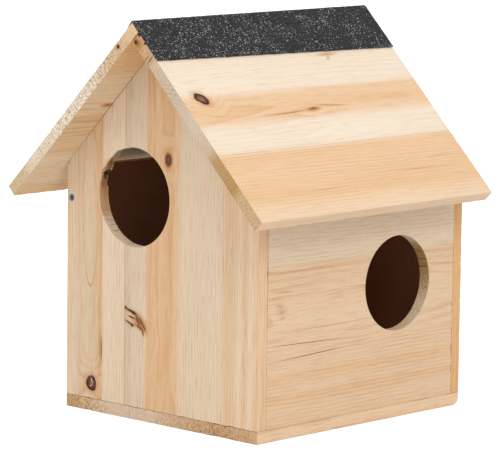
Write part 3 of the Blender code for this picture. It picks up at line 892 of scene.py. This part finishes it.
class HouseTrim(bpy.types.PropertyGroup):
    """Sizes and colours of the felt and the screws."""

    felt: color_property("Felt", "Colour of the dark granules", "#272728")
    felt_light: color_property("Lighter granules", "Colour of the grey granules", "#4A4A49")
    fleck: color_property("Pale flecks", "Colour of the few pale granules", "#C4C4BF")
    granule: length_property("Granule", "Width of one mineral granule", 0.6)
    zinc: color_property("Zinc", "Colour of the screws' plating", "#707C8D")
    steel: color_property("Steel", "Colour of the bare nails", "#8F8F90")
    screw_proud: length_property("Head height", "How far a screw head stands out", 0.05)


class HouseStage(bpy.types.PropertyGroup):
    """Light levels of the studio."""

    key: bpy.props.FloatProperty(
        name="Key", description="Main lamp's power", default=29.0, unit="POWER"
    )
    fill: bpy.props.FloatProperty(
        name="Fill", description="Left lamp's power", default=5.0, unit="POWER"
    )
    sky: bpy.props.FloatProperty(name="Sky", description="Light from all round", default=0.82)


class HOUSE_OT_floor(bpy.types.Operator):
    """Makes the floor board, which lies under all four walls"""

    bl_idname = "house.floor"
    bl_label = "Floor board"

    def execute(self, context):
        axes = ((1, 0, 0), (0, 0, -1), (0, 1, 0))
        holes = [(screw_place(node, way), way, *FLOOR_BORE) for node, way in FLOOR_SCREWS]
        chips = [((96, 122.5, 0), (14, 4.8, -3.2))]
        make_board("floor_board", "floor", FLOOR_LOOK, "floor_fir", axes, holes=holes, chips=chips)
        return {"FINISHED"}


class HOUSE_OT_gables(bpy.types.Operator):
    """Makes the front gable with its round entrance, and the back gable"""

    bl_idname = "house.gables"
    bl_label = "Gables"

    def execute(self, context):
        shape = {"edges": (-90, 0, 45, 135, 180), "grow": np.array([0.3, 0.0, 0.27, 0.27, 0.0])}
        entrance = {"hole": (-27.0, 160.0, 35.5), "torn": ((112, 166, 2.0), (102, 180, 3.8))}
        gables = (("front", FRONT_LOOK, entrance), ("back", BACK_LOOK, {}))
        for (title, look, opening), (screw, way) in zip(gables, PIVOT_SCREWS):
            axes = ((1, 0, 0), way, (0, 0, 1))
            holes = [(screw_place(screw, way), way, *PIVOT_BORE)]
            make_board(
                title + "_gable", title, look, "gable_fir", axes, holes=holes, **opening, **shape
            )
        return {"FINISHED"}


class HOUSE_OT_sides(bpy.types.Operator):
    """Makes the fixed right side with its round entrance, and the hinged left side"""

    bl_idname = "house.sides"
    bl_label = "Sides"

    def execute(self, context):
        axes = ((0, 0, 1), (1, 0, 0), (0, 1, 0))
        shape = {"hole": (98.0, 52.0, 34.5), "grow": np.array([0.1, 0.29, 0.3, 0.29])}
        make_board("right_side_panel", "right_side", SIDE_LOOK, "side_fir", axes, **shape)
        axes = ((0, 0, 1), (-1, 0, 0), (0, 1, 0))
        make_board("left_side_door", "door", DOOR_LOOK, "side_fir", axes, body="side_door")
        return {"FINISHED"}


RIGHT_SLOPE = ((SLOPE, 0, -SLOPE), (SLOPE, 0, SLOPE), (0, 1, 0))
LEFT_SLOPE = ((-SLOPE, 0, -SLOPE), (-SLOPE, 0, SLOPE), (0, 1, 0))


class HOUSE_OT_roof(bpy.types.Operator):
    """Makes the two roof boards, the right one butting under the left one"""

    bl_idname = "house.roof"
    bl_label = "Roof boards"

    def execute(self, context):
        make_board(
            "roof_board_right", "roof_right", RIGHT_ROOF_LOOK, "roof_fir", RIGHT_SLOPE, ridge=True
        )
        make_board(
            "roof_board_left", "roof_left", LEFT_ROOF_LOOK, "roof_fir", LEFT_SLOPE, ridge=True
        )
        return {"FINISHED"}


def felt_material(trim):
    """Bitumen felt pressed full of mineral granules.

    It gives the eye a matt, rough, dark speckled sheet. Each granule is one cell of a Voronoi
    pattern as wide as a granule of 0.6 mm. Most are near black, some are grey, and a few are pale
    and catch the light, more of them in some places than in others.
    """
    node, surface, made = new_material("mineral_felt")
    place = node("TexCoord", out="Object")
    cell = {"Vector": place, "Scale": 1 / trim.granule}
    cells = node("TexVoronoi", cell, out="Color")
    chance = node("SeparateColor", [cells])
    dark = [(0.0, (*trim.felt, 1.0)), (0.55, (*trim.felt, 1.0)), (1.0, (*trim.felt_light, 1.0))]
    colour = node("ValToRGB", [chance], stops=dark)
    crowd = node("TexNoise", {"Vector": place, "Scale": 60.0, "Detail": 4.0})
    limit = node("MapRange", [crowd, 0.35, 0.65, 0.985, 0.88])
    pale = node("Math.GREATER_THAN", [chance.node.outputs[1], limit])
    shade = node("MapRange", [chance.node.outputs[2], 0.0, 1.0, 0.1, 1.0])
    cover = node("Math.MULTIPLY", [pale, shade])
    colour = node("Mix", {0: cover, 6: colour, 7: (*trim.fleck, 1.0)}, **BLENDED)
    grain = node("TexVoronoi", cell, out="Distance")
    relief = node("Math.MULTIPLY", [grain, -0.35])
    bump = node("Bump", {"Strength": 1.0, "Distance": MM, "Height": relief})
    feed(
        surface,
        {"Base Color": colour, "Roughness": 0.9, "Specular IOR Level": 0.2, "Normal": bump},
    )
    return made


def metal_material(name, colour, roughness):
    """Plated or drawn steel: it gives the eye a bright face with fine dull patches."""
    node, surface, made = new_material(name)
    place = node("TexCoord", out="Object")
    patch = node("TexNoise", {"Vector": place, "Scale": 900.0, "Detail": 3.0})
    stops = [(0.3, tuple(0.72 * c for c in colour) + (1.0,)), (0.7, (*colour, 1.0))]
    tone = node("ValToRGB", [patch], stops=stops)
    rough = node("MapRange", [patch, 0.0, 1.0, roughness - 0.08, roughness + 0.12])
    feed(surface, {"Base Color": tone, "Roughness": rough, "Metallic": 1.0})
    return made


class HOUSE_OT_felt(bpy.types.Operator):
    """Makes the strip of felt that is folded over the ridge"""

    bl_idname = "house.felt"
    bl_label = "Ridge felt"

    def execute(self, context):
        """A flat sheet of (across, along) points is folded over the ridge.

        Within the bend, a point goes round the ridge line by its distance over the bend's length,
        and past it, straight down its slope. Granules raise the top, and the rim is ragged.
        """
        length, half_width = 240, 36
        trim = context.scene.house_trim
        solid = node_points("ridge_felt")
        low, high = solid.min(axis=0), solid.max(axis=0)
        ridge = Board("roof_board_left", *LEFT_SLOPE, ridge=True).origin[2]
        thick = high[2] - ridge - SEAT_GAP
        front = solid[solid[:, 1] < low[1] + 0.1]
        back = solid[solid[:, 1] > high[1] - 0.1]
        left_start = solid[solid[:, 0] < low[0] + 0.1, 1].min()
        reach = np.array([[-low[0], -back[:, 0].min()], [front[:, 0].max(), high[0]]])
        edges = reach / SLOPE - SEAT_GAP - thick
        rng = np.random.default_rng(4)
        across = np.linspace(-1, 1, 99)[None]
        along = np.linspace(0, 1, 325)[:, None]
        ragged = [0.25 * ripple(seed, along * length, 0, 14) - 0.3 for seed in (31, 32)]
        left, right = (
            start + (end - start) * along + rag for (start, end), rag in zip(edges, ragged)
        )
        s = across * np.where(across < 0, left, right)
        ends = [0.2 * ripple(seed, across * half_width, 0, 9) for seed in (33, 34)]
        start = low[1] + 0.25 + ends[0] + (left_start - low[1]) * np.maximum(-across, 0)
        end = high[1] - 0.25 + ends[1]
        y = start + (end - start) * along
        granules = rng.uniform(0, 1, s.shape) ** 2
        hollow = 0.08 * (1 + ripple(35, s, y, 30))
        inward = np.minimum(
            (1 - np.abs(across)) * half_width, np.minimum(along, 1 - along) * length
        )
        rim = np.clip(inward / 0.8, 0, 1)

        def folded(height):
            bend = SEAT_GAP + thick / 2
            turn = np.clip(s / bend, -math.pi / 4, math.pi / 4)
            past = s - turn * bend
            x = np.sin(turn) * height + past * np.cos(turn)
            z = ridge + np.cos(turn) * height - np.abs(past) * SLOPE
            return MM * np.stack([x, y, z], axis=-1)

        upper = folded(SEAT_GAP + thick - hollow - 0.25 * granules - 0.3 * (1 - rim))
        lower = folded(SEAT_GAP + 0.15 * (1 - rim))
        rows, columns = s.shape
        index = np.arange(rows * columns).reshape(rows, columns)
        top = np.stack([index[:-1, :-1], index[:-1, 1:], index[1:, 1:], index[1:, :-1]], axis=-1)
        top = top.reshape(-1, 4)
        under = top[:, ::-1] + rows * columns
        border = np.concatenate([index[0], index[1:, -1], index[-1, -2::-1], index[-2:0:-1, 0]])
        after = np.roll(border, -1)
        wall = np.stack([after, border, border + rows * columns, after + rows * columns], axis=-1)
        points = np.concatenate([upper.reshape(-1, 3), lower.reshape(-1, 3)])
        obj = mesh_object("felt", points, np.concatenate([top, under, wall]))
        obj.data.set_sharp_from_angle(angle=math.radians(60))
        finish_piece(obj, felt_material(trim), "house", "mineral_felt", "ridge_felt")
        return {"FINISHED"}


class HOUSE_OT_screws(bpy.types.Operator):
    """Makes the zinc-plated screws and gives the roof nails their steel"""

    bl_idname = "house.screws"
    bl_label = "Screws and nails"

    def execute(self, context):
        trim = context.scene.house_trim
        zinc = metal_material("bright_zinc_plated_steel", trim.zinc, 0.34)
        groups = ((PIVOT_SCREWS, PIVOT_HEAD, trim.screw_proud), (FLOOR_SCREWS, FLOOR_HEAD, 0.0))
        for group, head, proud in groups:
            for node, way in group:
                point = np.array(screw_place(node, way)) + proud * np.array(way, float)
                obj = countersunk_screw("zinc_" + node, head, SCREW_SHANK, SCREW_LENGTH, point, way)
                obj.data.set_sharp_from_angle(angle=math.radians(45))
                finish_piece(obj, zinc, "house", "zinc_screw", node)
        steel = metal_material("drawn_steel", trim.steel, 0.45)
        for name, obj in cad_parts.items():
            if name.startswith("roof_nail"):
                for slot in obj.material_slots:
                    slot.material = steel
        return {"FINISHED"}


def area_lamp(name, energy, size, place):
    """A square soft lamp at a place, turned to face the middle of the house, in metres."""
    lamp = bpy.data.lights.new(name, "AREA")
    lamp.energy = energy
    lamp.size = size
    obj = bpy.data.objects.new(name, lamp)
    way = Vector(place) - Vector(LAMP_TARGET)
    obj.matrix_world = Matrix.Translation(place) @ way.to_track_quat("Z", "Y").to_matrix().to_4x4()
    bpy.context.scene.collection.objects.link(obj)


class HOUSE_OT_stage(bpy.types.Operator):
    """Makes the white floor, the soft studio light and the camera of the photograph"""

    bl_idname = "house.stage"
    bl_label = "Stage"

    def execute(self, context):
        scene = context.scene
        levels = scene.house_stage
        scene.view_settings.view_transform = "Standard"

        # Matt white paper that the camera sees a little brighter, to meet the white behind it
        node, surface, paper = new_material("white_paper")
        seen = node("LightPath", out="Is Camera Ray")
        glow = node("Math.MULTIPLY", [seen, 0.5])
        feed(
            surface, {"Base Color": linear("#F2F2F2"), "Roughness": 1.0, "Specular IOR Level": 0.0}
        )
        feed(surface, {"Emission Color": linear("#FFFFFF"), "Emission Strength": glow})
        side = PAPER_HALF
        corners = ((-side, -side), (side, -side), (side, side), (-side, side))
        points = [(*corner, PAPER_TOP) for corner in corners]
        mesh = bpy.data.meshes.new("paper_floor")
        mesh.from_pydata(points, [], [(0, 1, 2, 3)])
        mesh.materials.append(paper)
        floor = bpy.data.objects.new("paper_floor", mesh)
        scene.collection.objects.link(floor)

        world = bpy.data.worlds.new("studio")
        scene.world = world
        world.use_nodes = True
        node = partial(add, world.node_tree)
        rays = node("LightPath").node.outputs
        seen = node("Math.MAXIMUM", [rays["Is Camera Ray"], rays["Is Glossy Ray"]])
        seen = node("Math.MAXIMUM", [seen, rays["Is Transmission Ray"]])
        strength = node("MapRange", [seen, 0.0, 1.0, levels.sky, 1.0])
        feed(
            world.node_tree.nodes["Background"],
            {"Color": linear("#FFFFFF"), "Strength": strength},
        )

        area_lamp("key", levels.key, 1.5, (1.75, -0.8, 2.15))
        area_lamp("fill", levels.fill, 1.4, (-1.3, -1.9, 1.0))

        # The camera looks against this direction, and rolls about it
        azimuth, elevation, roll = (math.radians(angle) for angle in (AZIMUTH, ELEVATION, ROLL))
        level = math.cos(elevation)
        back = Vector((math.sin(azimuth) * level, -math.cos(azimuth) * level, math.sin(elevation)))
        right = Vector((0, 0, 1)).cross(back).normalized()
        turn = (
            Matrix.Rotation(roll, 3, back)
            @ Matrix((right, back.cross(right), back)).transposed()
        )
        camera = bpy.data.cameras.new("photo_camera")
        camera.sensor_fit = "HORIZONTAL"
        camera.sensor_width = SENSOR_WIDTH
        camera.lens = FOCAL_LENGTH
        camera.shift_x, camera.shift_y = SHIFT
        camera.clip_end = 50.0
        seat = bpy.data.objects.new("photo_camera", camera)
        place = Vector(VIEW_CENTRE) + back * VIEW_DISTANCE
        seat.matrix_world = Matrix.Translation(place) @ turn.to_4x4()
        scene.collection.objects.link(seat)
        scene.camera = seat
        return {"FINISHED"}


class HOUSE_PT_panel(bpy.types.Panel):
    """Lists the house's pieces, sizes and colours"""

    bl_label = "Squirrel House"
    bl_idname = "HOUSE_PT_panel"
    bl_space_type = "VIEW_3D"
    bl_region_type = "UI"
    bl_category = "Squirrel House"

    def draw(self, context):
        for operator in OPERATORS:
            self.layout.operator(operator.bl_idname)
        for group in (context.scene.house_fir, context.scene.house_trim, context.scene.house_stage):
            box = self.layout.box()
            for name in group.__annotations__:
                box.prop(group, name)


OPERATORS = (
    HOUSE_OT_stage,
    HOUSE_OT_floor,
    HOUSE_OT_gables,
    HOUSE_OT_sides,
    HOUSE_OT_roof,
    HOUSE_OT_felt,
    HOUSE_OT_screws,
)
GROUPS = {"house_fir": HouseFir, "house_trim": HouseTrim, "house_stage": HouseStage}


def register():
    for kind in (*GROUPS.values(), *OPERATORS, HOUSE_PT_panel):
        bpy.utils.register_class(kind)
    for name, kind in GROUPS.items():
        setattr(bpy.types.Scene, name, bpy.props.PointerProperty(type=kind))


def unregister():
    for name in GROUPS:
        delattr(bpy.types.Scene, name)
    for kind in reversed((*GROUPS.values(), *OPERATORS, HOUSE_PT_panel)):
        bpy.utils.unregister_class(kind)


def main():
    register()
    bpy.ops.house.stage()
    bpy.ops.house.floor()
    bpy.ops.house.gables()
    bpy.ops.house.sides()
    bpy.ops.house.roof()
    bpy.ops.house.felt()
    bpy.ops.house.screws()


if __name__ == "__main__":
    main()
